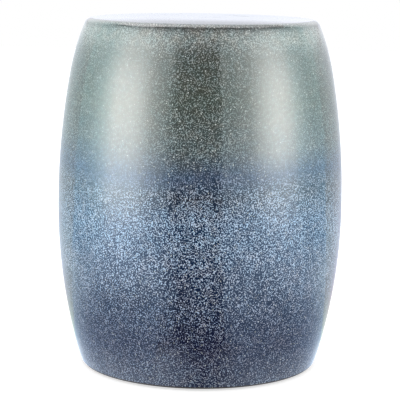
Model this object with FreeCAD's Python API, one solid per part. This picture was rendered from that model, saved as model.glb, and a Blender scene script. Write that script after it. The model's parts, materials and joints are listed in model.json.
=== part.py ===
import FreeCAD, Part
import math
import os

# A glazed stoneware garden stool: a barrel-shaped clay wall under a closed, slightly crowned seat, on a foot
# ring with an open middle. A coat of glaze covers all that shows, and soft pads stand under the foot.
# Sizes are in millimetres. The origin is on the floor, under the middle of the seat, and +Z is up.

# Outside of the glaze, measured from the clay's underside
body_height = 457.0  # up to the middle of the seat
seat_radius = 144.0  # crowned seat, out to where its rounded edge begins
seat_crown = 1.8  # rise of the seat's middle above the start of that edge
seat_edge_radius = 9.7
belly_radius = 187.6  # the widest place of the wall
belly_height = 207.9
foot_radius = 155.0  # where the wall's curve meets the plane of the foot

# The wall turns in above and below the belly on two tangent arcs, a long one and a tighter one. Their leans
# from upright are given in leans of the straight line from the belly to the arcs' end. One plain arc has 2.0.
neck_first_lean = 1.27
neck_end_lean = 2.85
foot_first_lean = 1.77
foot_end_lean = 2.58

# Clay and glaze
glaze_thickness = 0.8
glaze_edge_round = 0.6
bare_foot_height = 3.0  # clay left unglazed above the plane of the foot
wall_thickness = 6.0
seat_thickness = 11.0  # at the middle of the seat
seat_spigot_depth = 4.0  # drop of the seat's underside inside the wall's mouth
foot_flange_height = 10.0  # the flat ring that the wall stands on
foot_lip_height = 8.0  # the ring's lip, standing inside the wall
foot_lip_thickness = 7.0
foot_opening_radius = 112.0
lute_clearance = 0.3  # between a spigot or lip and the wall round it, filled with slip
foot_edge_round = 2.5
clay_edge_round = 2.0  # the other handled edges

# Self-adhesive pads under the foot ring
pad_count = 4
pad_radius = 10.0
pad_thickness = 2.0
pad_edge_round = 0.8
tape_thickness = 0.5
tape_inset = 0.8  # the adhesive disc is this much smaller than its pad, all round

# Heights above the floor
foot_z = pad_thickness + tape_thickness
flange_top_z = foot_z + foot_flange_height
belly_z = foot_z + belly_height
seat_z = foot_z + body_height
seat_joint_z = seat_z - glaze_thickness - seat_thickness

# The crown of the seat is part of a large ball, and the seat's rounded edge is tangent to it
crown_radius = (seat_radius**2 + seat_crown**2) / (2 * seat_crown)
crown_lean = math.asin(seat_radius / crown_radius)
crown_centre_z = seat_z - crown_radius
edge_centre_r = (crown_radius - seat_edge_radius) * math.sin(crown_lean)
edge_centre_z = crown_centre_z + (crown_radius - seat_edge_radius) * math.cos(crown_lean)

tiny = 1e-6


class Arc:
    """A round stretch of an outline, from where the stretch below it ends up to its own top."""

    def __init__(self, centre_r, centre_z, radius, top):
        self.centre_r = centre_r
        self.centre_z = centre_z
        self.radius = radius  # less than nothing where the outline is hollow
        self.top = top

    def point(self, z):
        reach = math.sqrt(self.radius**2 - (z - self.centre_z) ** 2)
        return (self.centre_r + math.copysign(reach, self.radius), z)

    def edge(self, low, high):
        return arc_edge(self.point(low), self.point((low + high) / 2), self.point(high))


def place(point):
    """An outline's (radius, height) as a place in the XZ plane."""
    return FreeCAD.Vector(point[0], 0, point[1])


def arc_edge(start, middle, end):
    return Part.Arc(place(start), place(middle), place(end)).toShape()


def straight_edges(points):
    """The lines from each point to the next."""
    return [Part.LineSegment(place(a), place(b)).toShape() for a, b in zip(points, points[1:])]


def bend(reach, rise, first_lean, end_lean):
    """The radii and end leans of two tangent arcs that leave upright and move in by reach over rise."""
    line_lean = math.atan2(reach, rise)
    first = first_lean * line_lean
    end = end_lean * line_lean
    # The reach and rise of each arc for a radius of 1 give two equations for the two radii
    first_reach = 1 - math.cos(first)
    first_rise = math.sin(first)
    second_reach = math.cos(first) - math.cos(end)
    second_rise = math.sin(end) - math.sin(first)
    scale = first_reach * second_rise - second_reach * first_rise
    first_radius = (reach * second_rise - rise * second_reach) / scale
    second_radius = (rise * first_reach - reach * first_rise) / scale
    return first_radius, first, second_radius, end


def wall_arcs(depth, rounded):
    """The wall's outline at a depth under the glaze's surface, from the foot up.

    It ends in the seat's rounded edge, or if it isn't rounded the neck's arc carries on.
    """
    lower, lower_lean, heel, heel_lean = bend(
        belly_radius - foot_radius, belly_height, foot_first_lean, foot_end_lean
    )
    # Drawn in by the radius of the seat's edge, the neck's arcs end at the centre of that edge
    neck_reach = belly_radius - seat_edge_radius - edge_centre_r
    neck_rise = edge_centre_z - belly_z
    upper, upper_lean, neck, neck_lean = bend(neck_reach, neck_rise, neck_first_lean, neck_end_lean)
    upper += seat_edge_radius
    neck += seat_edge_radius

    lower_r = belly_radius - lower
    heel_r = lower_r + (lower - heel) * math.cos(lower_lean)
    heel_z = belly_z - (lower - heel) * math.sin(lower_lean)
    upper_r = belly_radius - upper
    neck_r = upper_r + (upper - neck) * math.cos(upper_lean)
    neck_z = belly_z + (upper - neck) * math.sin(upper_lean)

    arcs = [
        Arc(heel_r, heel_z, heel - depth, belly_z - (lower - depth) * math.sin(lower_lean)),
        Arc(lower_r, belly_z, lower - depth, belly_z),
        Arc(upper_r, belly_z, upper - depth, belly_z + (upper - depth) * math.sin(upper_lean)),
    ]
    if rounded:
        edge = seat_edge_radius - depth
        arcs.append(Arc(neck_r, neck_z, neck - depth, edge_centre_z + edge * math.sin(neck_lean)))
        arcs.append(Arc(edge_centre_r, edge_centre_z, edge, edge_centre_z + edge * math.cos(crown_lean)))
    else:
        arcs.append(Arc(neck_r, neck_z, neck - depth, math.inf))
    return arcs


def wall_edges(depth, low, high=math.inf, rounded=True):
    """The edges of the wall's outline at a depth, between two heights, bottom first."""
    edges = []
    for arc in wall_arcs(depth, rounded):
        top = min(arc.top, high)
        if top - low > tiny:
            edges.append(arc.edge(low, top))
            low = top
    return edges


def wall_point(depth, z, rounded=True):
    """The wall's (radius, height) at a depth under the glaze and a height."""
    arc = next(arc for arc in wall_arcs(depth, rounded) if z < arc.top + tiny)
    return arc.point(z)


def crown_point(depth, lean):
    radius = crown_radius - depth
    return (radius * math.sin(lean), crown_centre_z + radius * math.cos(lean))


def crown_edge(depth):
    """The seat's crown at a depth, from its rounded edge to the middle."""
    return arc_edge(*[crown_point(depth, lean) for lean in (crown_lean, crown_lean / 2, 0)])


def turned(edges):
    """The solid that a closed outline sweeps round the stool's axis."""
    face = Part.Face(Part.Wire(Part.__sortEdges__(edges)))
    return face.revolve(FreeCAD.Vector(0, 0, 0), FreeCAD.Vector(0, 0, 1), 360)


def rounded_at(solid, radius, corners):
    """The solid with its round edges at these outline corners rounded."""
    picked = []
    for edge in solid.Edges:
        start = edge.Vertexes[0].Point
        if edge.isClosed() and any(start.distanceToPoint(place(corner)) < tiny for corner in corners):
            picked.append(edge)
    return solid.makeFillet(radius, picked).Solids[0]


def seat_slab():
    """The seat: a crowned slab with a rounded edge, and a spigot that sits in the wall's mouth."""
    mouth_radius = wall_point(glaze_thickness + wall_thickness, seat_joint_z, rounded=False)[0]
    spigot_radius = mouth_radius - lute_clearance
    spigot_corner = (spigot_radius, seat_joint_z - seat_spigot_depth)
    edges = wall_edges(glaze_thickness, seat_joint_z)
    edges.append(crown_edge(glaze_thickness))
    edges += straight_edges(
        [
            crown_point(glaze_thickness, 0),
            (0, spigot_corner[1]),
            spigot_corner,
            (spigot_radius, seat_joint_z),
            wall_point(glaze_thickness, seat_joint_z),
        ]
    )
    return rounded_at(turned(edges), clay_edge_round, [spigot_corner])


def barrel_wall():
    """The wall, an open barrel of even thickness between the foot ring's flange and the seat."""
    inside = glaze_thickness + wall_thickness
    edges = wall_edges(glaze_thickness, flange_top_z, seat_joint_z)
    edges += wall_edges(inside, flange_top_z, seat_joint_z, rounded=False)
    for z in (flange_top_z, seat_joint_z):
        edges += straight_edges([wall_point(glaze_thickness, z), wall_point(inside, z, rounded=False)])
    return turned(edges)


def foot_ring():
    """The foot: a flat flange round the open base, with a lip that the wall is luted over."""
    lip_radius = wall_point(glaze_thickness + wall_thickness, flange_top_z)[0] - lute_clearance
    lip_bore = lip_radius - foot_lip_thickness
    lip_top_z = flange_top_z + foot_lip_height
    heel = wall_point(glaze_thickness, foot_z)
    opening = [(foot_opening_radius, flange_top_z), (foot_opening_radius, foot_z)]
    lip = [(lip_radius, lip_top_z), (lip_bore, lip_top_z)]
    lip_roots = [(lip_radius, flange_top_z), (lip_bore, flange_top_z)]
    flange_rim = wall_point(glaze_thickness, flange_top_z)
    edges = wall_edges(glaze_thickness, foot_z, flange_top_z)
    edges += straight_edges([flange_rim, lip_roots[0], *lip, lip_roots[1], *opening, heel])
    ring = rounded_at(turned(edges), foot_edge_round, [heel])
    return rounded_at(ring, clay_edge_round, [*opening, *lip, lip_roots[1]])


def glaze_coat():
    """The glaze: one glassy skin over seat and wall, with a rounded lower edge above the bare foot."""
    line_z = foot_z + bare_foot_height
    outer_end = wall_point(0, line_z)
    edges = wall_edges(0, line_z) + [crown_edge(0)]
    edges += wall_edges(glaze_thickness, line_z) + [crown_edge(glaze_thickness)]
    edges += straight_edges([crown_point(0, 0), crown_point(glaze_thickness, 0)])
    edges += straight_edges([outer_end, wall_point(glaze_thickness, line_z)])
    return rounded_at(turned(edges), glaze_edge_round, [outer_end])


def under_foot(index, shape):
    """A shape made on the axis, moved to its place under the middle of the foot ring's width."""
    turn = 360 * (index + 0.5) / pad_count
    moved = shape.copy()
    moved.translate(FreeCAD.Vector((foot_radius + foot_opening_radius) / 2, 0, 0))
    moved.rotate(FreeCAD.Vector(0, 0, 0), FreeCAD.Vector(0, 0, 1), turn)
    return moved


def foot_pad():
    """A soft round pad with its lower edge rounded."""
    disc = Part.makeCylinder(pad_radius, pad_thickness)
    return rounded_at(disc, pad_edge_round, [(pad_radius, 0)])


def pad_tape():
    """The adhesive disc between a pad and the clay."""
    return Part.makeCylinder(pad_radius - tape_inset, tape_thickness, FreeCAD.Vector(0, 0, pad_thickness))


nodes = {
    "seat_slab": seat_slab(),
    "barrel_wall": barrel_wall(),
    "foot_ring": foot_ring(),
    "glaze_coat": glaze_coat(),
}
for index in range(pad_count):
    nodes[f"foot_pad_{index + 1}"] = under_foot(index, foot_pad())
    nodes[f"pad_tape_{index + 1}"] = under_foot(index, pad_tape())

os.makedirs("parts", exist_ok=True)
for name, shape in nodes.items():
    shape.exportStep(f"parts/{name}.step")
    print(name, shape.ShapeType, "valid" if shape.isValid() else "not valid", round(shape.Volume))
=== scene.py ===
# %% [markdown]
# A garden stool is one big hollow pot turned upside down: a barrel of stoneware clay with a closed seat,
# dipped in a glossy reactive glaze that melts into speckles and runs from green into blue. The
# construction is loaded first as a fixed frame in metres, and everything made here is fitted to it.

import json
import math

import bmesh
import bpy
from mathutils import Matrix, Vector, noise


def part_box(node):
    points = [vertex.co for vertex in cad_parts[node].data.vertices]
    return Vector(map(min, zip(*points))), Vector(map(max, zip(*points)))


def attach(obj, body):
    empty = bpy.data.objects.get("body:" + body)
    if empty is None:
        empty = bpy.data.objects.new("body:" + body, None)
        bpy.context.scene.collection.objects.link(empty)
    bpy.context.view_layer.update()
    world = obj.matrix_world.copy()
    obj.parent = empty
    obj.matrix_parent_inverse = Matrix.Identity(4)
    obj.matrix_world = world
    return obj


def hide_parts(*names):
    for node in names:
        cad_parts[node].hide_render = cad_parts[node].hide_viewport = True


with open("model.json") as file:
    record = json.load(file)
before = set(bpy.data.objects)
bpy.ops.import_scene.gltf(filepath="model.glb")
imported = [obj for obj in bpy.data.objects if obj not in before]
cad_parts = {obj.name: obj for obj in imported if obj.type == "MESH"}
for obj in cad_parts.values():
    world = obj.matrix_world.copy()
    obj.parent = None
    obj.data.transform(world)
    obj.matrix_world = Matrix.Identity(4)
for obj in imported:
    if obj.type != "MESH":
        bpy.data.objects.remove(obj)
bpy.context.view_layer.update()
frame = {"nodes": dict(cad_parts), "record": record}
nodes = frame["nodes"]

# %% [markdown]
# The camera stands about two metres away with a long lens, a little above the seat, so the seat shows as
# a thin bright ellipse. The lens is worked out from how many pixels wide a metre looks at a metre's
# distance. Depth of field and shift stay off, so the same camera can be carried round the stool.

# %% Camera
MM = 0.001
IMAGE_SIZE = 400
PIXELS_AT_ONE_METRE = 1594.2
camera_distance = 2089.2 * MM
camera_height = 561.5 * MM
camera_pitch = math.radians(9.348)
camera_roll = math.radians(0.787)


def make_camera():
    data = bpy.data.cameras.new("camera")
    data.sensor_width = 36.0
    data.lens = data.sensor_width * PIXELS_AT_ONE_METRE / IMAGE_SIZE
    camera = bpy.data.objects.new("camera", data)
    bpy.context.scene.collection.objects.link(camera)
    tilt = Matrix.Rotation(math.pi / 2 - camera_pitch, 4, "X") @ Matrix.Rotation(camera_roll, 4, "Z")
    camera.matrix_world = Matrix.Translation((0, -camera_distance, camera_height)) @ tilt
    bpy.context.scene.camera = camera
    return camera


print("lens, mm:", round(make_camera().data.lens, 1))

# %% [markdown]
# The glaze is a skin of glass under a millimetre thick. A potter's profile of this shape is a chain of
# arcs that run into each other without a corner: heel, lower wall, upper wall, neck, seat edge and the
# seat's slow crown. It could be drawn as a long list of points, but a chain of turns needs only centres,
# radii and angles, so the reflections on it stay clean. Two arcs join the belly to the foot, and two more
# join it to the seat's edge.

# %% Sizes of the glazed outline
glaze_low, glaze_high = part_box("glaze_coat")
belly_radius = glaze_high.x
seat_z = glaze_high.z
glaze_line_z = glaze_low.z
foot_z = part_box("foot_ring")[0].z
glaze_thickness = seat_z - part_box("seat_slab")[1].z
belly_z = foot_z + 207.9 * MM
foot_radius = 155.0 * MM
seat_radius = 144.0 * MM
seat_crown = 1.8 * MM
seat_edge_radius = 9.7 * MM
# How far each pair of arcs leans, the first arc and then both, as shares of the straight line's lean
LOWER_LEANS = (1.77, 2.58)
UPPER_LEANS = (1.27, 2.85)


def bend(reach, rise, first_lean, end_lean):
    """The radii and end leans of two tangent arcs that start upright and move in by reach over rise."""
    line_lean = math.atan2(reach, rise)
    first, end = first_lean * line_lean, end_lean * line_lean
    first_reach, first_rise = 1 - math.cos(first), math.sin(first)
    second_reach, second_rise = math.cos(first) - math.cos(end), math.sin(end) - math.sin(first)
    scale = first_reach * second_rise - second_reach * first_rise
    first_radius = (reach * second_rise - rise * second_reach) / scale
    second_radius = (rise * first_reach - reach * first_rise) / scale
    return first_radius, first, second_radius, end


crown_radius = (seat_radius**2 + seat_crown**2) / (2 * seat_crown)
crown_lean = math.asin(seat_radius / crown_radius)
edge_r = (crown_radius - seat_edge_radius) * math.sin(crown_lean)
edge_z = seat_z - crown_radius + (crown_radius - seat_edge_radius) * math.cos(crown_lean)
lower, lower_lean, heel, _ = bend(belly_radius - foot_radius, belly_z - foot_z, *LOWER_LEANS)
upper_reach = belly_radius - seat_edge_radius - edge_r
upper, upper_lean, neck, neck_lean = bend(upper_reach, edge_z - belly_z, *UPPER_LEANS)
upper += seat_edge_radius
neck += seat_edge_radius
print("radii from foot to neck, mm:", [round(v / MM) for v in (heel, lower, upper, neck)])

# %% [markdown]
# Each arc is made by spinning the outline's last vertex round the arc's centre, which leaves a trail of
# edges. The clay side of the glaze is the same chain with every radius smaller by the glaze's thickness.
# At the bottom the glaze ends in a small round bead, because melted glass pulls itself back from the
# wiped foot.

# %% Draw the outline
UP = (0, -1, 0)  # turning about this axis carries a point from the wall up towards the seat
DOWN = (0, 1, 0)
BEAD_STEPS = 6


def outline_arcs(depth):
    """(centre, radius, start angle, end angle, steps) of each arc at a depth in the glaze, foot first."""
    lower_c = Vector((belly_radius - lower, 0, belly_z))
    heel_c = lower_c + (lower - heel) * Vector((math.cos(lower_lean), 0, -math.sin(lower_lean)))
    upper_c = Vector((belly_radius - upper, 0, belly_z))
    neck_c = upper_c + (upper - neck) * Vector((math.cos(upper_lean), 0, math.sin(upper_lean)))
    heel_start = math.asin((glaze_line_z - heel_c.z) / (heel - depth))
    brow = math.pi / 2 - crown_lean
    return [
        (heel_c, heel - depth, heel_start, -lower_lean, 12),
        (lower_c, lower - depth, -lower_lean, 0, 36),
        (upper_c, upper - depth, 0, upper_lean, 36),
        (neck_c, neck - depth, upper_lean, neck_lean, 16),
        (Vector((edge_r, 0, edge_z)), seat_edge_radius - depth, neck_lean, brow, 18),
        (Vector((0, 0, seat_z - crown_radius)), crown_radius - depth, brow, math.pi / 2, 30),
    ]


def carry(bm, vert, centre, axis, angle, steps):
    """Spins one vertex round a centre and returns the last vertex of its trail."""
    spun = bmesh.ops.spin(bm, geom=[vert], cent=centre, axis=axis, angle=angle, steps=steps)
    return next(g for g in spun["geom_last"] if isinstance(g, bmesh.types.BMVert))


def draw_side(bm, depth):
    """Draws the outline at a depth, from the glaze line to the middle of the seat. Returns its ends."""
    arcs = outline_arcs(depth)
    centre, radius, start = arcs[0][:3]
    first = bm.verts.new(centre + radius * Vector((math.cos(start), 0, math.sin(start))))
    last = first
    for centre, radius, start, end, steps in arcs:
        last = carry(bm, last, centre, UP, end - start, steps)
    return first, last


def draw_glaze(bm):
    """Draws the glaze's closed cross-section: outside, bead at the foot, and the side on the clay."""
    outer_foot, outer_top = draw_side(bm, 0)
    inner_foot, inner_top = draw_side(bm, glaze_thickness)
    bm.edges.new((outer_top, inner_top))
    bead_centre = (outer_foot.co + inner_foot.co) / 2
    bead_end = carry(bm, outer_foot, bead_centre, DOWN, math.pi, BEAD_STEPS)
    bmesh.ops.pointmerge(bm, verts=[bead_end, inner_foot], merge_co=inner_foot.co)


shell = bmesh.new()
draw_glaze(shell)
print("edges in the cross-section:", len(shell.edges))

# %% [markdown]
# The cross-section is turned about the stool's axis, as a jigger turns a pot. One spin right round would
# do, but a quarter turn mirrored twice gives the same shell much sooner. Fired ware is never perfectly
# true: wall and seat wave by a tenth of a millimetre or so. That is too little to see as shape, but it
# bends the mirrored lights. The wave is smooth noise that only sinks the outside, so the stool keeps
# inside its true size.

# %% Turn it and let it wave
QUARTER_STEPS = 64
WAVE_LENGTH = 75 * MM
WAVE_DEPTH = 0.14 * MM
WELD = 0.001 * MM


def turn_round(bm, quarter_steps):
    geom = bm.verts[:] + bm.edges[:]
    bmesh.ops.spin(bm, geom=geom, cent=(0, 0, 0), axis=(0, 0, 1), angle=math.pi / 2, steps=quarter_steps)
    for axis in ("X", "Y"):
        geom = bm.verts[:] + bm.edges[:] + bm.faces[:]
        bmesh.ops.mirror(bm, geom=geom, axis=axis, merge_dist=WELD)
    bmesh.ops.remove_doubles(bm, verts=bm.verts, dist=WELD)
    bmesh.ops.recalc_face_normals(bm, faces=bm.faces)


def sink_in_waves(bm):
    """Sinks the outside of the shell along its normals by smooth noise."""
    bm.normal_update()
    middle = Vector((0, 0, belly_z))
    for vert in bm.verts:
        if vert.normal.dot(vert.co - middle) > 0:
            wave = noise.noise(vert.co / WAVE_LENGTH) * 0.5 + 0.5
            vert.co -= vert.normal * (WAVE_DEPTH * wave)


def finish_piece(name, bm):
    """Makes the bmesh a smooth-shaded object that rides on the stool."""
    for face in bm.faces:
        face.smooth = True
    mesh = bpy.data.meshes.new(name)
    bm.to_mesh(mesh)
    bm.free()
    piece = bpy.data.objects.new(name, mesh)
    bpy.context.scene.collection.objects.link(piece)
    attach(piece, "root")
    return piece


turn_round(shell, QUARTER_STEPS)
sink_in_waves(shell)
glaze_shell = finish_piece("glaze_shell", shell)
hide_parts("glaze_coat")
print("glaze shell:", len(glaze_shell.data.polygons), "faces")
print("glaze shell's height, mm:", round(glaze_shell.dimensions.z / MM, 1))

# %% [markdown]
# Materials are small networks of nodes. These helpers add a node with its settings, join sockets, and
# spread a colour or a number over the height of the stool, which most of the finishes here need.

# %% Node helpers


def new_material(name):
    material = bpy.data.materials.new(name)
    material.use_nodes = True
    return material, material.node_tree, material.node_tree.nodes["Principled BSDF"]


def add(tree, kind, inputs=None, **settings):
    """Adds a node. Inputs are values or sockets, by name or number."""
    node = tree.nodes.new(kind)
    for key, value in settings.items():
        setattr(node, key, value)
    for key, value in (inputs or {}).items():
        if isinstance(value, bpy.types.NodeSocket):
            tree.links.new(value, node.inputs[key])
        else:
            node.inputs[key].default_value = value
    return node


def math_node(tree, operation, first, second=0.0, third=0.0):
    return add(tree, "ShaderNodeMath", {0: first, 1: second, 2: third}, operation=operation).outputs[0]


def noise_node(tree, vector, scale, detail=2.0, roughness=0.5, distortion=0.0):
    inputs = {"Vector": vector, "Scale": scale, "Detail": detail}
    inputs.update({"Roughness": roughness, "Distortion": distortion})
    return add(tree, "ShaderNodeTexNoise", inputs).outputs["Fac"]


def ramp_node(tree, factor, stops):
    """A colour ramp with (position, colour) stops."""
    ramp = add(tree, "ShaderNodeValToRGB", {"Fac": factor})
    elements = ramp.color_ramp.elements
    for position, colour in stops[1:-1]:
        elements.new(position)
    for element, (position, colour) in zip(elements, stops):
        element.position = position
        element.color = (*colour, 1.0)
    return ramp.outputs["Color"]


def mix_node(tree, factor, first, second, blend="MIX"):
    mix = add(tree, "ShaderNodeMix", data_type="RGBA", blend_type=blend)
    for socket, value in ((mix.inputs[0], factor), (mix.inputs[6], first), (mix.inputs[7], second)):
        if isinstance(value, bpy.types.NodeSocket):
            tree.links.new(value, socket)
        else:
            socket.default_value = value
    return mix.outputs[2]


def times(tree, first, second):
    return mix_node(tree, 1.0, first, second, "MULTIPLY")


# %% [markdown]
# The glaze is a dark glass full of pale crystals. Both colours change with height: a frosty rim,
# green-grey below it, a smoky band, then powder blue crystals on ink blue that thin out to navy at the
# foot. The crystals could be dots from a cell pattern, but melted ones run together like worms, which is
# what a threshold on fine noise gives. The share of the surface that is pale changes with height too, and
# so does how rough the crystals are. Just under the seat's edge a fine dark line is painted into the
# colour, a painted reflection of the dark that the rounded edge mirrors.

# %% Glaze colours
# Height in mm, colour of the glass, colour of the crystals, share of crystals, roughness of crystals
GLASS, CRYSTAL, SHARE, ROUGHNESS = 1, 2, 3, 4
glaze_zones = [
    (0, (0.012, 0.018, 0.052), (0.40, 0.46, 0.57), 0.22, 0.25),
    (60, (0.001, 0.003, 0.028), (0.26, 0.285, 0.38), 0.20, 0.20),
    (108, (0.004, 0.012, 0.042), (0.42, 0.50, 0.65), 0.20, 0.15),
    (155, (0.005, 0.015, 0.048), (0.53, 0.63, 0.80), 0.23, 0.15),
    (190, (0.005, 0.021, 0.060), (0.505, 0.64, 0.81), 0.32, 0.15),
    (222, (0.005, 0.021, 0.060), (0.475, 0.61, 0.785), 0.31, 0.15),
    (252, (0.007, 0.015, 0.033), (0.40, 0.48, 0.59), 0.27, 0.25),
    (276, (0.026, 0.046, 0.085), (0.145, 0.195, 0.30), 0.28, 0.50),
    (310, (0.046, 0.059, 0.062), (0.21, 0.255, 0.26), 0.30, 0.60),
    (360, (0.044, 0.054, 0.044), (0.195, 0.23, 0.21), 0.25, 0.60),
    (418, (0.042, 0.051, 0.043), (0.195, 0.22, 0.22), 0.24, 0.55),
    (430, (0.065, 0.075, 0.071), (0.27, 0.30, 0.295), 0.32, 0.45),
    (440, (0.105, 0.118, 0.112), (0.31, 0.34, 0.33), 0.37, 0.40),
    (449, (0.105, 0.117, 0.112), (0.31, 0.335, 0.33), 0.38, 0.35),
    (457, (0.070, 0.080, 0.080), (0.30, 0.32, 0.33), 0.33, 0.05),
]
seat_top_mm = seat_z / MM
# Height in mm on the seat's edge, how much of the colour is left under the painted dark line
dark_edge_heights = [(447, 1.0), (449.5, 0.8), (451.2, 0.6), (452.3, 0.4), (453.6, 0.4), (455, 0.8), (456.5, 1.0)]
painted_edge_shade = [(z / seat_top_mm, (left,) * 3) for z, left in dark_edge_heights]


def zone_ramp(tree, level, column):
    """A ramp up the stool of one column of the glaze zones."""
    stops = []
    for zone in glaze_zones:
        value = zone[column]
        stops.append((zone[0] / seat_top_mm, value if isinstance(value, tuple) else (value,) * 3))
    return ramp_node(tree, level, stops)


print("glaze zones:", len(glaze_zones), "from the foot to", round(seat_top_mm, 1), "mm")

# %% [markdown]
# Fine noise is cut at a threshold to get the crystals. Slow noise moves the threshold a little, so that
# they gather in clouds, and lifts or drops the zones by up to about a centimetre, as a dipped glaze runs
# unevenly. Noise drawn out along the wall adds the thin runs of flowing glass. Here and there a larger
# white crystal floats free, and those are dots from a cell pattern. All crystals stand a few thousandths
# of a millimetre proud.

# %% Glaze
# Scales are cells of noise in a metre
WORM_SCALE = 760.0
WORM_TWIST = 0.3
CLOUD_SCALE = 30.0
CLOUD_SWING = 0.10
RUN_SCALE = 420.0
RUN_SWING = 0.10
RUN_SQUEEZE = 0.06  # the noise of the runs sees this share of the height, which draws it out
CAST_SCALE = 90.0
DRIFT_SCALE = 14.0
DRIFT = 0.03
THRESHOLD_TOP = 0.70
THRESHOLD_FALL = 0.40
SOFT_EDGE = 0.04
CRYSTAL_RISE = 0.003 * MM
DOT_SCALE = 230.0  # each cell with a dot or without
DOT_RADIUS = 0.75 * MM
DOT_CORE = 0.6  # share of a dot's radius that is solid
DOT_SHARE = 0.45
DOT_COLOUR = (0.62, 0.66, 0.63, 1)
GLASS_ROUGHNESS = 0.04
GLASS_IOR = 1.6


def centred(tree, value, amount):
    """Noise made to swing about 0 by the amount."""
    return math_node(tree, "MULTIPLY", math_node(tree, "SUBTRACT", value, 0.5), amount)


def soft_step(tree, value, low, high):
    return add(tree, "ShaderNodeMapRange", {"Value": value, "From Min": low, "From Max": high}).outputs[0]


def white_dots(tree, place):
    """A mask of sparse round dots."""
    inputs = {"Vector": place, "Scale": DOT_SCALE, "Randomness": 1.0}
    cells = add(tree, "ShaderNodeTexVoronoi", inputs).outputs
    radius = DOT_RADIUS * DOT_SCALE
    dot = soft_step(tree, cells["Distance"], radius, DOT_CORE * radius)
    chance = add(tree, "ShaderNodeSeparateColor", {"Color": cells["Color"]}).outputs[0]
    return math_node(tree, "MULTIPLY", dot, math_node(tree, "LESS_THAN", chance, DOT_SHARE))


def make_glaze():
    material, tree, shader = new_material("reactive_glaze")
    place = add(tree, "ShaderNodeTexCoord").outputs["Object"]
    height = add(tree, "ShaderNodeSeparateXYZ", {0: place}).outputs["Z"]
    drift = centred(tree, noise_node(tree, place, DRIFT_SCALE, detail=3.0), DRIFT)
    level = math_node(tree, "DIVIDE", math_node(tree, "ADD", height, drift), seat_z)
    glass = zone_ramp(tree, level, GLASS)
    crystal = zone_ramp(tree, level, CRYSTAL)
    share = zone_ramp(tree, level, SHARE)

    worms = noise_node(tree, place, WORM_SCALE, detail=0.0, distortion=WORM_TWIST)
    clouds = centred(tree, noise_node(tree, place, CLOUD_SCALE, detail=3.0), CLOUD_SWING)
    drawn = add(tree, "ShaderNodeMapping", {"Vector": place, "Scale": (1.0, 1.0, RUN_SQUEEZE)}).outputs[0]
    runs = centred(tree, noise_node(tree, drawn, RUN_SCALE, detail=1.0), RUN_SWING)
    worms = math_node(tree, "ADD", math_node(tree, "ADD", worms, clouds), runs)
    # Noise lies round 0.5, so its threshold moves only a little for a large change of share
    threshold = math_node(tree, "MULTIPLY_ADD", share, -THRESHOLD_FALL, THRESHOLD_TOP)
    crystals = soft_step(tree, math_node(tree, "SUBTRACT", worms, threshold), -SOFT_EDGE, SOFT_EDGE)
    colour = mix_node(tree, crystals, glass, crystal)
    cast = noise_node(tree, place, CAST_SCALE, detail=2.0)
    casts = [(0.35, (1.00, 0.94, 0.90)), (0.5, (0.96, 0.97, 0.97)), (0.65, (0.90, 0.98, 1.00))]
    colour = times(tree, colour, ramp_node(tree, cast, casts))
    # The fine dark line under the seat's edge is a painted reflection of the dark that the rounded edge
    # mirrors
    edge_shade_factor = ramp_node(tree, math_node(tree, "DIVIDE", height, seat_z), painted_edge_shade)
    colour = times(tree, colour, edge_shade_factor)
    dots = white_dots(tree, place)
    colour = mix_node(tree, dots, colour, DOT_COLOUR)
    tree.links.new(colour, shader.inputs["Base Color"])

    shader.inputs["IOR"].default_value = GLASS_IOR
    pale = math_node(tree, "MAXIMUM", crystals, dots)
    extra = math_node(tree, "SUBTRACT", zone_ramp(tree, level, ROUGHNESS), GLASS_ROUGHNESS)
    rough = math_node(tree, "MULTIPLY_ADD", math_node(tree, "POWER", pale, 2.0), extra, GLASS_ROUGHNESS)
    tree.links.new(rough, shader.inputs["Roughness"])
    proud = math_node(tree, "ADD", pale, runs)
    bump = add(tree, "ShaderNodeBump", {"Height": proud, "Strength": 1.0, "Distance": CRYSTAL_RISE})
    tree.links.new(bump.outputs["Normal"], shader.inputs["Normal"])
    return material


reactive_glaze = make_glaze()
glaze_shell.data.materials.append(reactive_glaze)
print("nodes in the glaze:", len(reactive_glaze.node_tree.nodes))

# %% [markdown]
# Under the glaze the clay is buff stoneware, matt and a little sandy, with specks of iron. It shows
# inside the body and on the wiped foot, and low down it turns a smoky brown.

# %% Stoneware, rubber and adhesive
DARK_FOOT_HEIGHT = 8 * MM  # the darkening is full up to here and gone at twice the height
DARK_FOOT_COLOUR = (0.075, 0.065, 0.062, 1)
IRON_COLOUR = (0.08, 0.05, 0.035, 1)


def make_stoneware():
    material, tree, shader = new_material("bare_stoneware")
    place = add(tree, "ShaderNodeTexCoord").outputs["Object"]
    cloud = noise_node(tree, place, 18.0, detail=4.0)
    body = ramp_node(tree, cloud, [(0.3, (0.36, 0.28, 0.20)), (0.7, (0.50, 0.41, 0.31))])
    speck = noise_node(tree, place, 900.0, detail=1.0)
    body = mix_node(tree, soft_step(tree, speck, 0.70, 0.76), body, IRON_COLOUR)
    height = add(tree, "ShaderNodeSeparateXYZ", {0: place}).outputs["Z"]
    # Darker towards the bottom: smoky brown up to the first height, buff again above twice it
    ragged = math_node(tree, "ADD", height, centred(tree, cloud, DARK_FOOT_HEIGHT / 2))
    foot_dark_share = soft_step(tree, ragged, 2 * DARK_FOOT_HEIGHT, DARK_FOOT_HEIGHT)
    colour = mix_node(tree, foot_dark_share, body, DARK_FOOT_COLOUR)
    tree.links.new(colour, shader.inputs["Base Color"])
    shader.inputs["Roughness"].default_value = 0.85
    grain = noise_node(tree, place, 1200.0, detail=3.0)
    bump = add(tree, "ShaderNodeBump", {"Height": grain, "Strength": 0.5, "Distance": 0.3 * MM})
    tree.links.new(bump.outputs["Normal"], shader.inputs["Normal"])
    return material


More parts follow.
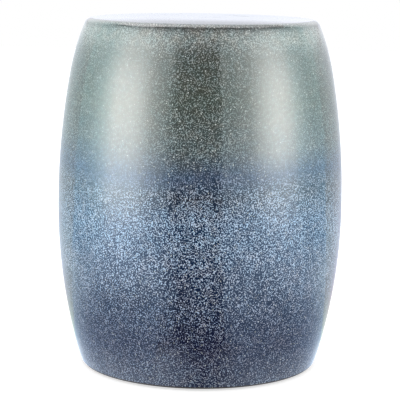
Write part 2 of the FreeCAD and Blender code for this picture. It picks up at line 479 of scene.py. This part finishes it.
def make_rubber():
    material, tree, shader = new_material("soft_rubber")
    place = add(tree, "ShaderNodeTexCoord").outputs["Object"]
    grain = noise_node(tree, place, 700.0, detail=3.0)
    colour = ramp_node(tree, grain, [(0.3, (0.018, 0.018, 0.019)), (0.7, (0.045, 0.045, 0.046))])
    tree.links.new(colour, shader.inputs["Base Color"])
    shader.inputs["Roughness"].default_value = 0.7
    return material


def make_adhesive():
    material, tree, shader = new_material("foam_adhesive")
    place = add(tree, "ShaderNodeTexCoord").outputs["Object"]
    cells = noise_node(tree, place, 2500.0, detail=1.0)
    colour = ramp_node(tree, cells, [(0.35, (0.55, 0.54, 0.50)), (0.65, (0.75, 0.74, 0.70))])
    tree.links.new(colour, shader.inputs["Base Color"])
    shader.inputs["Roughness"].default_value = 0.6
    return material


finishes = {"stoneware": make_stoneware(), "pad": make_rubber(), "tape": make_adhesive()}
for part in frame["record"]["subparts"]:
    if part["material_slot"] in finishes:
        mesh = nodes[part["node"]].data
        mesh.materials.clear()
        mesh.materials.append(finishes[part["material_slot"]])
        print(part["node"], "is finished as", part["material_slot"])

# %% [markdown]
# A glossy pot shows the studio as much as itself, so what it mirrors is built like a pottery shoot:
# curved screens stand round the stool, and their light fades along and round them, as light behind paper
# does. Soft boxes with hard edges would be simpler, but only light that fades leaves the soft highlights
# that this glaze shows. One material does it for all screens: a ramp round the stool times a ramp along
# the screen, and such parts added up.

# %% Light in a screen
SCREEN_RADIUS = 1.5


def stops_node(tree, value, stops, unit=1.0):
    """Colours or numbers that follow (place, value) stops, with the places in the given unit."""
    low, high = stops[0][0] * unit, stops[-1][0] * unit
    part = soft_step(tree, value, low, high)
    coloured = [(share if isinstance(share, tuple) else (share,) * 3) for place, share in stops]
    places = [(place * unit - low) / (high - low) for place, share in stops]
    return ramp_node(tree, part, list(zip(places, coloured)))


def screen_light(name, parts):
    """Light as a sum of (strength, stops round the stool in degrees, stops along the screen in metres)."""
    material = bpy.data.materials.new(name)
    material.use_nodes = True
    tree = material.node_tree
    tree.nodes.remove(tree.nodes["Principled BSDF"])
    place = add(tree, "ShaderNodeTexCoord").outputs["Object"]
    x, y, z = add(tree, "ShaderNodeSeparateXYZ", {0: place}).outputs
    # The way along a screen is its height, and on its apron it counts down from 0 towards the stool
    y_squared = math_node(tree, "MULTIPLY", y, y)
    reach = math_node(tree, "SQRT", math_node(tree, "MULTIPLY_ADD", x, x, y_squared))
    way = math_node(tree, "SUBTRACT", math_node(tree, "ADD", z, reach), SCREEN_RADIUS)
    azimuth = math_node(tree, "ARCTAN2", x, math_node(tree, "MULTIPLY", y, -1.0))
    total = (0, 0, 0, 1)
    for strength, around, along in parts:
        turn = stops_node(tree, azimuth, around, math.radians(1))
        part = times(tree, turn, stops_node(tree, way, along))
        part = times(tree, part, (strength, strength, strength, 1))
        total = mix_node(tree, 1.0, part, total, "ADD")
    glow = add(tree, "ShaderNodeEmission", {"Color": total})
    tree.links.new(glow.outputs[0], tree.nodes["Material Output"].inputs["Surface"])
    return material


all_round = [(-180, 1.0), (180, 1.0)]
even = [(-2.0, 1.0), (4.0, 1.0)]
print("the screens stand", SCREEN_RADIUS, "m from the stool's axis")

# %% [markdown]
# A screen is an upright strip, spun round the stool from one azimuth to another. It goes on over the
# floor as an apron, because the lower half of a barrel mirrors the floor. Screens and aprons are only
# there to be mirrored: the camera doesn't see them, and they cast no shadow and light nothing. Softer
# lights do that, further down.

# %% Bend a screen
SCREEN_HEIGHT = 2.0
BACK_HEIGHT = 1.9
APRON_INNER = 0.15
APRON_HEIGHT = 2 * MM
STRIP_STEPS = 48


def at(azimuth, reach, height):
    """A place at an azimuth from the camera's side, towards +X, and a reach from the stool's axis."""
    angle = math.radians(azimuth)
    return Vector((reach * math.sin(angle), -reach * math.cos(angle), height))


def set_up(name, bm, material, mirrored=True, lights=True):
    """Puts a mesh in the studio, out of the camera's sight."""
    mesh = bpy.data.meshes.new(name)
    bm.to_mesh(mesh)
    bm.free()
    mesh.materials.append(material)
    panel = bpy.data.objects.new(name, mesh)
    bpy.context.scene.collection.objects.link(panel)
    panel.visible_camera = False
    panel.visible_glossy = mirrored
    panel.visible_diffuse = lights
    panel.visible_shadow = False
    print(name, "is", [round(v, 2) for v in panel.dimensions], "m")
    return panel


def make_strip(name, azimuths, ends, material, mirrored=True):
    """A strip between two (reach, height) ends, spun round the stool. It is mirrored or it gives light."""
    bm = bmesh.new()
    pair = [bm.verts.new(at(azimuths[0], reach, height)) for reach, height in ends]
    edge = bm.edges.new(pair)
    angle = math.radians(azimuths[1] - azimuths[0])
    geom = [*pair, edge]
    bmesh.ops.spin(bm, geom=geom, cent=(0, 0, 0), axis=(0, 0, 1), angle=angle, steps=STRIP_STEPS)
    return set_up(name, bm, material, mirrored, not mirrored)


def make_screen(side, azimuths, height, material):
    make_strip(f"screen_{side}", azimuths, [(SCREEN_RADIUS, 0), (SCREEN_RADIUS, height)], material)


def make_apron(side, azimuths, material):
    ends = [(APRON_INNER, APRON_HEIGHT), (SCREEN_RADIUS, APRON_HEIGHT)]
    make_strip(f"apron_{side}", azimuths, ends, material)


# %% [markdown]
# Two screens stand left and right of the camera. Their paper glows all over, brighter high up and bluer
# low down, and a lamp behind each makes one of the two tall highlights. The left lamp is the stronger one
# and reaches further down. Each list gives places and levels: metres up the paper, or degrees round the
# stool.

# %% Paper and lamps
PAPER_LEVEL = 1.9
lamp_level = {"left": 10.4, "right": 9.3}
lamp_foot = {"left": 1.0, "right": 0.62}  # how much of a lamp's lower half there is

paper_glow = [
    (-0.95, (0.0, 0.0, 0.0)),
    (-0.60, (0.40, 0.58, 0.82)),
    (0.00, (0.47, 0.67, 0.90)),
    (0.20, (0.62, 0.82, 0.98)),
    (0.50, (0.88, 1.04, 1.06)),
    (0.90, (1.12, 1.30, 1.29)),
    (1.15, (1.20, 1.39, 1.36)),
    (1.40, (0.85, 1.00, 1.00)),
    (1.70, (0.40, 0.48, 0.48)),
]
apron_glow = [
    (-1.35, (0.70, 0.83, 1.02)),
    (-1.28, (0.40, 0.54, 0.76)),
    (-1.20, (0.36, 0.50, 0.72)),
    (-0.95, (0.60, 0.83, 1.12)),
    (-0.60, (0.0, 0.0, 0.0)),
]
left_paper = [(-114, (0.90, 1.05, 1.05)), (-90, (0.85, 0.95, 0.96)), (-60, 0.85)]
left_paper += [(-27, 1.0), (-24.5, 0.8), (-22.5, 0.4), (-19, 0.25)]
right_paper = [(16, 0.85), (24, 0.85), (31, 1.0), (50, 0.82), (65, 0.82)]
right_paper += [(90, (0.85, 0.95, 0.96)), (114, (0.90, 1.05, 1.05))]
left_apron = [(-114, (1.15, 1.08, 0.92)), (-95, (1.05, 1.0, 0.92)), (-75, 0.85), (-60, 0.85)]
left_apron += [(-27, 1.0), (-24.5, 0.8), (-22, 0.5), (-19, 0.4), (-15, 0.3)]
right_apron = [(16, 0.55), (24, 0.7), (31, 0.8), (45, 0.69), (65, 0.70), (80, 0.85)]
right_apron += [(95, (1.05, 1.0, 0.92)), (114, (1.15, 1.08, 0.92))]
left_lamp = [(-104, (0.03, 0.05, 0.05)), (-95, (0.15, 0.20, 0.21)), (-88, (0.28, 0.36, 0.37))]
left_lamp += [(-80, (0.55, 0.62, 0.63)), (-71, 0.95), (-57, 0.98), (-49, 0.76), (-38, 0.26), (-26, 0.0)]
right_lamp = [(26, 0.0), (38, 0.18), (46, 0.53), (54, 0.86), (61, 1.04), (66, 1.02), (73, 0.82)]
right_lamp += [(82, (0.41, 0.48, 0.49)), (92, (0.14, 0.18, 0.19)), (103, (0.02, 0.03, 0.03))]


def lamp_glow(foot):
    """A lamp's light up the screen, with its lower half turned down to a share."""
    return [
        (-1.10, (0.0, 0.0, 0.0)),
        (-0.80, (0.11 * foot, 0.15 * foot, 0.20 * foot)),
        (-0.20, (0.23 * foot, 0.29 * foot, 0.35 * foot)),
        (0.00, (0.34 * foot, 0.40 * foot, 0.45 * foot)),
        (0.20, (0.60 * foot, 0.68 * foot, 0.71 * foot)),
        (0.33, (0.86, 0.89, 0.87)),
        (0.48, (1.02, 1.03, 0.98)),
        (0.60, (0.96, 0.97, 0.93)),
        (0.95, (0.61, 0.63, 0.61)),
        (1.30, (0.32, 0.34, 0.33)),
        (1.50, (0.08, 0.09, 0.09)),
    ]


for side, paper, apron, lamp in (
    ("left", left_paper, left_apron, left_lamp),
    ("right", right_paper, right_apron, right_lamp),
):
    parts = [(PAPER_LEVEL, paper, paper_glow), (PAPER_LEVEL, apron, apron_glow)]
    parts.append((lamp_level[side], lamp, lamp_glow(lamp_foot[side])))
    light = screen_light(f"screen_{side}_light", parts)
    make_screen(side, (paper[0][0], paper[-1][0]), SCREEN_HEIGHT, light)
    make_apron(side, (apron[0][0], apron[-1][0]), light)

# %% [markdown]
# The gap between the two screens is on the camera's side. The glaze mirrors it as the dark band down the
# front, which is where its crystals show best. A dark card carries the gap on over the floor. Close to
# the foot some light comes past the card, so the band narrows and fades there, and a small strip of light
# stands for that.

# %% Dark card and toe light
CARD_LEVEL = 0.08
TOE_REACH = 0.25

card_light = screen_light("dark_card", [(CARD_LEVEL, all_round, even)])
make_apron("gap", (left_apron[-1][0], right_apron[0][0]), card_light)

toe_around = [(-24, 1.25), (-20, 1.3), (-15, 1.15), (-11, 0.9), (-6, 0.5)]
toe_around += [(-2, 0.3), (4, 0.2), (11, 0.35), (19, 0.8)]
toe_glow = [(-1.35, (0.9, 1.05, 1.3)), (-1.29, (0.78, 0.95, 1.2)), (-1.25, (0.3, 0.35, 0.4))]
toe_light = screen_light("toe_light", [(1.0, toe_around, toe_glow)])
toe_ends = [(APRON_INNER, 2 * APRON_HEIGHT), (TOE_REACH, 2 * APRON_HEIGHT)]
make_strip("apron_toe", (toe_around[0][0], toe_around[-1][0]), toe_ends, toe_light)

# %% [markdown]
# Pale paper closes the back. Seen at a slant, glass mirrors nearly everything, so this paper is what
# makes the thin bright rim down each side of the stool and the sheen on its seat. It is bluer low down,
# brighter towards the top, and brighter at its two ends, where the lamps of the side screens reach it.

# %% Back paper
back_glow = [
    (-1.34, (0.42, 0.48, 0.50)),
    (-1.20, (0.45, 0.42, 0.40)),
    (-1.07, (0.53, 0.47, 0.57)),
    (-0.85, (0.66, 0.70, 0.90)),
    (-0.60, (0.66, 0.74, 0.90)),
    (-0.40, (0.62, 0.68, 0.86)),
    (0.00, (0.70, 0.76, 0.88)),
    (0.30, (0.92, 0.97, 1.08)),
    (0.50, (1.03, 1.07, 1.19)),
    (0.56, (1.20, 1.24, 1.37)),
    (0.60, (0.90, 0.92, 1.02)),
    (0.63, (0.72, 0.74, 0.80)),
    (0.90, (0.98, 1.04, 1.10)),
    (1.20, (1.16, 1.24, 1.30)),
    (1.50, (1.45, 1.55, 1.60)),
    (1.90, (1.60, 1.70, 1.72)),
]
back_around = [(-165, 1.0), (-145, (0.90, 1.0, 0.97)), (-120, (0.82, 1.0, 0.97))]
back_around += [(120, (0.88, 1.0, 0.97)), (150, 1.0)]
end_glow = [(-1.34, 0.85), (-1.1, 0.7), (-0.6, 0.62), (0.0, 0.48), (0.35, 0.45), (0.55, 0.6)]
end_glow += [(0.7, 1.5), (1.0, 2.0), (1.4, 1.9), (1.9, 1.8)]
end_around = [(-176, 0.0), (-165, 0.25), (-150, 0.5), (-135, (0.66, 0.75, 0.74)), (-120, (0.82, 1.0, 0.98))]
end_around += [(120, (0.84, 1.0, 0.98)), (128, (0.78, 0.85, 0.85)), (140, 0.55), (165, 0.25), (176, 0.0)]
back_light = screen_light("back_light", [(1.0, back_around, back_glow), (1.0, end_around, end_glow)])
BACK_SPAN = (114, 246)
make_screen("back", BACK_SPAN, BACK_HEIGHT, back_light)
make_apron("back", BACK_SPAN, back_light)

# %% [markdown]
# A soft box hangs over the stool, for the seat and the neck of the barrel to mirror. Its front edge is
# what ends the bright reflection on the seat's rim. It is brighter on the left, towards the stronger
# lamp.

# %% Overhead
OVERHEAD_SIZE = (2.8, 1.75)
OVERHEAD_MIDDLE = (-0.05, 0.37)
OVERHEAD_HEIGHT = 1.9
OVERHEAD_LEVEL = 3.0


def make_overhead():
    bm = bmesh.new()
    bmesh.ops.create_grid(bm, x_segments=1, y_segments=1, size=0.5)
    bmesh.ops.scale(bm, vec=(*OVERHEAD_SIZE, 1), verts=bm.verts)
    bmesh.ops.translate(bm, vec=(*OVERHEAD_MIDDLE, OVERHEAD_HEIGHT), verts=bm.verts)
    middle_glow = [(0.4, 1.15), (0.9, 1.0), (1.3, 0.75), (1.7, 0.5), (2.3, 0.4)]
    left_around = [(-180, 0.0), (-140, 0.55), (-110, 1.0), (-65, 1.0), (-45, 0.2), (0, 0.0)]
    left_glow = [(0.4, 0.1), (0.8, 0.5), (1.1, 0.8), (1.7, 1.2), (2.3, 1.2)]
    parts = [(OVERHEAD_LEVEL, all_round, middle_glow), (OVERHEAD_LEVEL, left_around, left_glow)]
    set_up("overhead", bm, screen_light("overhead_light", parts), lights=False)


make_overhead()

# %% [markdown]
# The lighting is done by a wide soft ring that stands round the stool outside the screens, and by one
# panel above. They are hidden from reflections, because the glaze already mirrors the screens. The ring
# is brighter and warmer at the two sides, which keeps the crystals lively there, and bluer at the front.

# %% Soft lights
RING_RADIUS = 1.6
RING_LEVEL = 1.28
TOP_LEVEL = 1.9
TOP_HEIGHT = 2.0
TOP_HALF_WIDTH = 0.8
TOP_FORWARD = 0.3

ring_side = (1.50, 1.43, 1.36)
ring_quarter = (1.15, 1.09, 1.03)
ring_front = (0.66, 0.76, 0.87)
ring_around = [(-180, 0.75), (-90, ring_side), (-45, ring_quarter), (0, ring_front)]
ring_around += [(45, ring_quarter), (90, ring_side), (180, 0.75)]
ring_light = screen_light("soft_ring_light", [(RING_LEVEL, ring_around, even)])
ring_ends = [(RING_RADIUS, 0), (RING_RADIUS, SCREEN_HEIGHT)]
make_strip("soft_ring", (-180, 180), ring_ends, ring_light, mirrored=False)


def make_soft_top():
    bm = bmesh.new()
    bmesh.ops.create_grid(bm, x_segments=1, y_segments=1, size=TOP_HALF_WIDTH)
    bmesh.ops.translate(bm, vec=(0, -TOP_FORWARD, TOP_HEIGHT), verts=bm.verts)
    set_up("soft_top", bm, screen_light("soft_top_light", [(TOP_LEVEL, all_round, even)]), mirrored=False)


make_soft_top()

# %% [markdown]
# The floor is plain and pale and keeps the stool's shadow. What the camera sees of it is lifted towards
# white, the more the farther off, so it fades into the white room. The room is dim to everything but the
# camera, which keeps the gap between the screens dark.

# %% Floor and room
FLOOR_HALF_WIDTH = 6
FLOOR_GREY = 0.6
LIFT_NEAR = 0.62
LIFT_FROM, LIFT_TO = 0.2, 1.0  # metres from the stool's axis
ROOM_LEVEL = 0.15


def make_floor():
    bm = bmesh.new()
    bmesh.ops.create_grid(bm, x_segments=1, y_segments=1, size=FLOOR_HALF_WIDTH)
    material, tree, shader = new_material("pale_floor")
    shader.inputs["Base Color"].default_value = (FLOOR_GREY, FLOOR_GREY, FLOOR_GREY, 1)
    shader.inputs["Roughness"].default_value = 0.9
    shader.inputs["Specular IOR Level"].default_value = 0.0
    rays = add(tree, "ShaderNodeLightPath")
    place = add(tree, "ShaderNodeTexCoord").outputs["Object"]
    reach = add(tree, "ShaderNodeVectorMath", {0: place}, operation="LENGTH").outputs["Value"]
    lift = stops_node(tree, reach, [(LIFT_FROM, LIFT_NEAR), (LIFT_TO, 1.0)])
    lift = times(tree, lift, rays.outputs["Is Camera Ray"])
    glow = add(tree, "ShaderNodeEmission", {"Color": lift})
    both = add(tree, "ShaderNodeAddShader", {0: shader.outputs[0], 1: glow.outputs[0]})
    tree.links.new(both.outputs[0], tree.nodes["Material Output"].inputs["Surface"])
    floor = set_up("floor", bm, material)
    floor.visible_camera = True
    floor.visible_shadow = True


def make_room():
    world = bpy.data.worlds.new("studio")
    bpy.context.scene.world = world
    world.use_nodes = True
    tree = world.node_tree
    rays = add(tree, "ShaderNodeLightPath")
    strength = math_node(tree, "MULTIPLY_ADD", rays.outputs["Is Camera Ray"], 1.0 - ROOM_LEVEL, ROOM_LEVEL)
    background = tree.nodes["Background"]
    background.inputs["Color"].default_value = (1, 1, 1, 1)
    tree.links.new(strength, background.inputs["Strength"])


make_floor()
make_room()
bpy.context.scene.view_settings.view_transform = "Standard"
print("floor grey", FLOOR_GREY, "and room level", ROOM_LEVEL)
